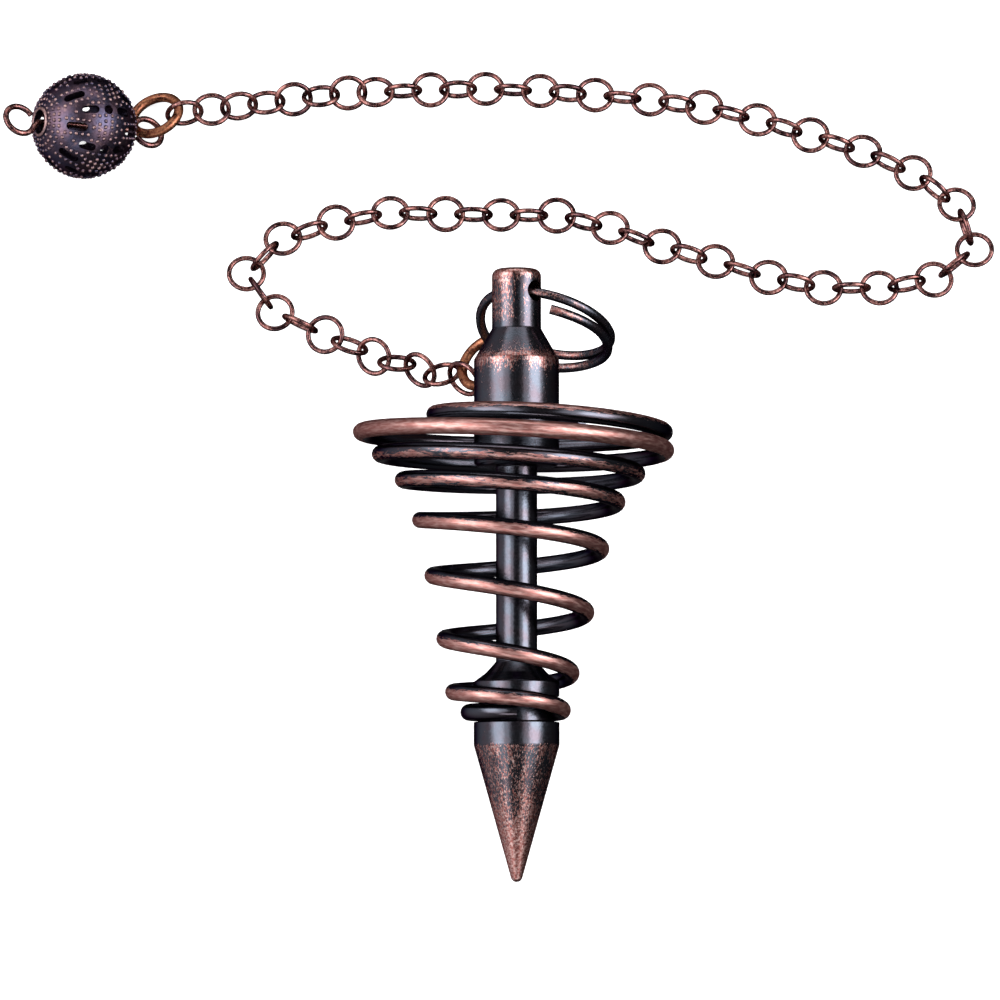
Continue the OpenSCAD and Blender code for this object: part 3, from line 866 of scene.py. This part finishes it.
def rings_mesh(node, size, wire_size, steps, sides):
    """One torus at each of a node's ring places, in one mesh."""
    one = torus(size * MM, wire_size * MM, steps, sides)
    pattern = bpy.data.meshes.new("one_ring")
    one.to_mesh(pattern)
    one.free()
    whole = bmesh.new()
    spots = ring_places(node)
    for middle, axis in spots:
        before = len(whole.verts)
        whole.from_mesh(pattern)
        whole.verts.ensure_lookup_table()
        turn = Vector(axis).to_track_quat("Z", "Y").to_matrix().to_4x4()
        bmesh.ops.transform(whole, matrix=Matrix.Translation(Vector(middle)) @ turn,
                            verts=whole.verts[before:])
    mesh = bpy.data.meshes.new(node + "_finish")
    whole.to_mesh(mesh)
    whole.free()
    print(node, "rings:", len(spots))
    return mesh


# %% [markdown]
# The chain is a rolo chain: round links, each turned a quarter from the last. The two jump
# rings are thicker and more orange. LINK_D is the outside of a link; the jump rings' sizes
# are to the middle of the wire.

# %% Chain and jump rings
LINK_D = 3.1
LINK_WIRE = 0.4
JUMP_D = 4.3
BALL_JUMP_D = 3.9
JUMP_WIRE = 0.76

finish_piece("chain",
             rings_mesh("chain", LINK_D - LINK_WIRE, LINK_WIRE, steps=40, sides=14),
             chain_finish)
finish_piece("pendant_jump_ring",
             rings_mesh("pendant_jump_ring", JUMP_D, JUMP_WIRE, steps=96, sides=24),
             ring_finish)
finish_piece("ball_jump_ring",
             rings_mesh("ball_jump_ring", BALL_JUMP_D, JUMP_WIRE, steps=96, sides=24),
             ring_finish)

# %% [markdown]
# The bead turns on an eye pin: a straight wire whose two ends are bent into eyes with round
# pliers, each with a small gap. The bead's own axis rises to the left, so the pin's path is
# drawn along that axis: half of it is laid out once and used for both ends.

# %% Eye pin
BALL_PLACE = np.array([-32.64, 30.25, 0])
BALL_D = 8.1
DOT_D = 0.4
PIN_WIRE = 0.48
EYE_D = 2.4
EYE_PLAY = 0.2
EYE_OPEN = 26
EYE_POINTS = 49
NECK_FROM = 1.75
NECK_TO = 1.3
NECK_SIDE = 0.08
POLE_YAW = math.radians(192)
POLE_RISE = math.radians(31)

ball_mid = BALL_PLACE - TABLE_MID + (BALL_D + DOT_D) / 2 * UP
pole_way = np.array([math.cos(POLE_RISE) * math.cos(POLE_YAW),
                     math.cos(POLE_RISE) * math.sin(POLE_YAW), math.sin(POLE_RISE)])
eye_side = np.array([-math.sin(POLE_YAW), math.cos(POLE_YAW), 0])
eye_r = EYE_D / 2
eye_reach = BALL_D / 2 + EYE_PLAY + PIN_WIRE / 2 + eye_r
pin_half = [(0.0, 0.0), (eye_reach - NECK_FROM * eye_r, 0.0),
            (eye_reach - NECK_TO * eye_r, NECK_SIDE * eye_r)]
pin_half += arc(eye_reach, 0, eye_r, 180 - EYE_OPEN, -180 + EYE_OPEN, EYE_POINTS)


def pin_spot(spot, end):
    """A place along and across the pin, towards one end or the other."""
    return ball_mid + end * (spot[0] * pole_way + spot[1] * eye_side)


pin_line = [pin_spot(spot, 1) for spot in reversed(pin_half[1:])]
pin_line += [pin_spot(spot, -1) for spot in pin_half]
finish_piece("eye_pin", drawn_wire("eye_pin_finish", pin_line, PIN_WIRE, 4),
             chain_finish, flat_over=50)

# %% [markdown]
# The bead was pressed from thin sheet in two halves. A sphere less a smaller one gives its
# shell. A solidify modifier could thicken a single sphere too, but it would have to come
# before the slots are pierced, and the boolean is needed for them anyway. The bead is made
# upright at the origin, in millimetres, and turned to its place at the end.

# %% Shell of the bead
BALL_WALL = 0.5

shell = bmesh.new()
bmesh.ops.create_uvsphere(shell, u_segments=96, v_segments=64, radius=BALL_D / 2)
shell_mesh = bpy.data.meshes.new("filigree_ball_finish")
shell.to_mesh(shell_mesh)
shell.free()
cutters = bmesh.new()
bmesh.ops.create_uvsphere(cutters, u_segments=72, v_segments=48,
                          radius=BALL_D / 2 - BALL_WALL)
core_mesh = bpy.data.meshes.new("core")
cutters.to_mesh(core_mesh)
cutters.free()
shell_mesh = cut_with(shell_mesh, core_mesh)
print("whole shell faces:", len(shell_mesh.polygons))

# %% [markdown]
# Two rings of slots in each half, a row of small holes round the middle and a hole at each
# pole are pierced through the sheet. All the punches are made as one mesh, so that a single
# boolean does the work. A slot's punch starts as a circle whose halves are moved apart,
# which gives it the round ends that a real punch has.

# %% Slots and holes
POLE_D = 1.85
SLOT_W = 0.65
SLOT_COUNT = 8
# Degrees from the pole where the slots start and stop, and the shift in slot steps
SLOT_RINGS = [(42, 66, 0), (60, 79, 0.5)]
PORT_D = 0.75


def on_ball(polar, turn, end):
    """Places a feature that points along Z at an angle from one pole."""
    flip = Matrix.Rotation(0 if end == 0 else math.pi, 4, "X")
    return (flip @ Matrix.Rotation(math.radians(turn), 4, "Z")
            @ Matrix.Rotation(math.radians(polar), 4, "Y"))


def punch_slot(shape, width, length, place):
    """Adds a round-ended punch that stands on the sphere's middle and points outward."""
    disc = bmesh.ops.create_circle(shape, cap_ends=True, segments=24, radius=width / 2)
    for vert in disc["verts"]:
        vert.co.x += math.copysign((length - width) / 2, vert.co.x)
    face = next(iter(set.intersection(*[set(vert.link_faces) for vert in disc["verts"]])))
    raised = bmesh.ops.extrude_face_region(shape, geom=[face])["geom"]
    top = [item for item in raised if isinstance(item, bmesh.types.BMVert)]
    bmesh.ops.translate(shape, vec=(0, 0, BALL_D), verts=top)
    bmesh.ops.transform(shape, matrix=place @ Matrix.Translation((0, 0, BALL_D / 4)),
                        verts=disc["verts"] + top)


punches = bmesh.new()
slot_step = 360 / SLOT_COUNT
for end in (0, 1):
    for start, stop, shift in SLOT_RINGS:
        for count in range(SLOT_COUNT):
            punch_slot(punches, SLOT_W, BALL_D / 2 * math.radians(stop - start),
                       on_ball((start + stop) / 2, (count + shift) * slot_step, end))
for count in range(SLOT_COUNT):
    bmesh.ops.create_cone(punches, cap_ends=True, segments=24, radius1=PORT_D / 2,
                          radius2=PORT_D / 2, depth=BALL_D / 2,
                          matrix=on_ball(90, (count + 0.5) * slot_step, 0)
                          @ Matrix.Translation((0, 0, BALL_D / 2)))
bmesh.ops.create_cone(punches, cap_ends=True, segments=48, radius1=POLE_D / 2,
                      radius2=POLE_D / 2, depth=2 * BALL_D)
bmesh.ops.recalc_face_normals(punches, faces=punches.faces[:])
punch_mesh = bpy.data.meshes.new("punches")
punches.to_mesh(punch_mesh)
punches.free()
shell_mesh = cut_with(shell_mesh, punch_mesh)
print("pierced shell faces:", len(shell_mesh.polygons))

# %% [markdown]
# Fine grains edge every slot like beaded wire, and rings of them fill the rest of the
# sphere, as long as no slot, hole or other grain is in the way. So this cell first lists
# the places that are wanted and those that are blocked, slots before rings, and keeps each
# wanted one that is clear of all the others. Angles are in degrees from a pole.

# %% Where the grains go
GRAIN_D = 0.35
GRAIN_SINK = 0.05
GRAIN_SPACE = 0.42
ROW_SPACE = 0.46
RING_STEP = 6.6
FIRST_RING = 20
EDGE_OFFSET = SLOT_W / 2 + 0.22
EDGE_SLACK = 0.03
EDGE_FROM = 1
EDGE_PAST = 3
BLOCK_FROM = 3
BLOCK_STEP = 4


def seat(aside):
    """A place on the upright sphere, a little aside from the pole and a little sunk."""
    depth = BALL_D / 2 - GRAIN_SINK
    return Matrix.Translation((0, aside, math.sqrt(depth ** 2 - aside ** 2)))


wanted = []
blocked = []
for end in (0, 1):
    for start, stop, shift in SLOT_RINGS:
        for count in range(SLOT_COUNT):
            turn = (count + shift) * slot_step
            blocked += [on_ball(polar, turn, end) @ seat(0)
                        for polar in np.arange(start + BLOCK_FROM, stop, BLOCK_STEP)]
            wanted += [on_ball(polar, turn, end) @ seat(aside)
                       for polar in np.arange(start - EDGE_FROM, stop + EDGE_PAST, RING_STEP)
                       for aside in (-EDGE_OFFSET, EDGE_OFFSET)]
blocked += [on_ball(90, (count + 0.5) * slot_step, 0) @ seat(0)
            for count in range(SLOT_COUNT)]
for end in (0, 1):
    for polar in np.arange(FIRST_RING, 91, RING_STEP):
        amount = round(math.pi * BALL_D * math.sin(math.radians(polar)) / ROW_SPACE)
        wanted += [on_ball(polar, count * 360 / amount, end) @ seat(0)
                   for count in range(amount)]
holes = np.array([place.translation for place in blocked])
kept = []
for place in wanted:
    spot = np.array(place.translation)
    clear = np.linalg.norm(holes - spot, axis=1).min() > EDGE_OFFSET - EDGE_SLACK
    apart = all(np.linalg.norm(other - spot) > GRAIN_SPACE for other, _ in kept)
    if clear and apart:
        kept.append((spot, place))
print("grains:", len(kept))

# %% [markdown]
# On the real bead the grains were raised from behind in the press. Here each one is a small
# sphere sunk into the shell, so only its dome shows. It is seen very small, so forty faces
# are enough for it. A thin ring of wire stands for the rolled rim at each pole. At the end
# the whole bead is turned to its place.

# %% Grains and rims
RIM_W = 0.3
RIM_OUT = 0.4
BALL_TURN = math.radians(11)

grain = bmesh.new()
bmesh.ops.create_uvsphere(grain, u_segments=8, v_segments=5, radius=GRAIN_D / 2)
grain_mesh = bpy.data.meshes.new("grain")
grain.to_mesh(grain_mesh)
grain.free()
grains = bmesh.new()
grains.from_mesh(shell_mesh)
for _, place in kept:
    before = len(grains.verts)
    grains.from_mesh(grain_mesh)
    grains.verts.ensure_lookup_table()
    bmesh.ops.transform(grains, matrix=place, verts=grains.verts[before:])
rim_r = POLE_D / 2 + RIM_OUT * RIM_W
rim_z = math.sqrt(BALL_D ** 2 / 4 - rim_r ** 2)
for end in (0, 1):
    rim = torus(2 * rim_r, RIM_W, steps=48, sides=10)
    bmesh.ops.transform(rim, matrix=on_ball(0, 0, end) @ Matrix.Translation((0, 0, rim_z)),
                        verts=rim.verts[:])
    rim_mesh = bpy.data.meshes.new("rim")
    rim.to_mesh(rim_mesh)
    rim.free()
    grains.from_mesh(rim_mesh)
ball_mesh = bpy.data.meshes.new("filigree_ball_finish")
grains.to_mesh(ball_mesh)
grains.free()
stand = (Matrix.Translation(Vector(ball_mid * MM))
         @ Matrix.Rotation(POLE_YAW, 4, "Z")
         @ Matrix.Rotation(math.pi / 2 - POLE_RISE, 4, "Y")
         @ Matrix.Rotation(BALL_TURN, 4, "Z") @ Matrix.Scale(MM, 4))
ball_mesh.transform(stand)
print("bead faces:", len(ball_mesh.polygons))

# %% [markdown]
# The bead is pressed brass sheet, plated and blackened, and keeps most of its black, with a
# violet cast. Copper shows on the tops of the grains, which stand proud of the sphere, so
# the mask is simply the distance from the bead's middle, with a few flecks on the sheet.

# %% Finish of the bead
GRAIN_FOOT = 0.02
GRAIN_TOP = 0.11
SHEET_RUB = 0.16
GRAIN_RUB = 0.66
BEAD_BLACK = ("#4a465a", "#66525f")
BEAD_COPPER = ("#9c7a7c", "#e0c0ba")

ball_finish, tree, shader = new_material("blackened_copper_plate_pressed_sheet", 1.0)
place = add(tree, "ShaderNodeTexCoord", {}, output="Object")
centred = add(tree, "ShaderNodeMapping",
              {"Vector": place, "Location": Vector(ball_mid * MM), "Scale": [MM] * 3},
              vector_type="TEXTURE")
reach = add(tree, "ShaderNodeVectorMath", {0: centred}, output="Value", operation="LENGTH")
proud = add(tree, "ShaderNodeMapRange",
            {"Value": reach, "From Min": BALL_D / 2 + GRAIN_FOOT,
             "From Max": BALL_D / 2 + GRAIN_TOP, "To Min": SHEET_RUB, "To Max": GRAIN_RUB})
bare = worn_through(tree, centred, proud, grain=0.13, patch=0.7, grit_share=0.6,
                    patch_share=1.4, softness=0.2)
plated(tree, shader, centred, bare, BEAD_BLACK, BEAD_COPPER, gloss=0.28, relief=0.6)
finish_piece("filigree_ball", ball_mesh, ball_finish, flat_over=40)
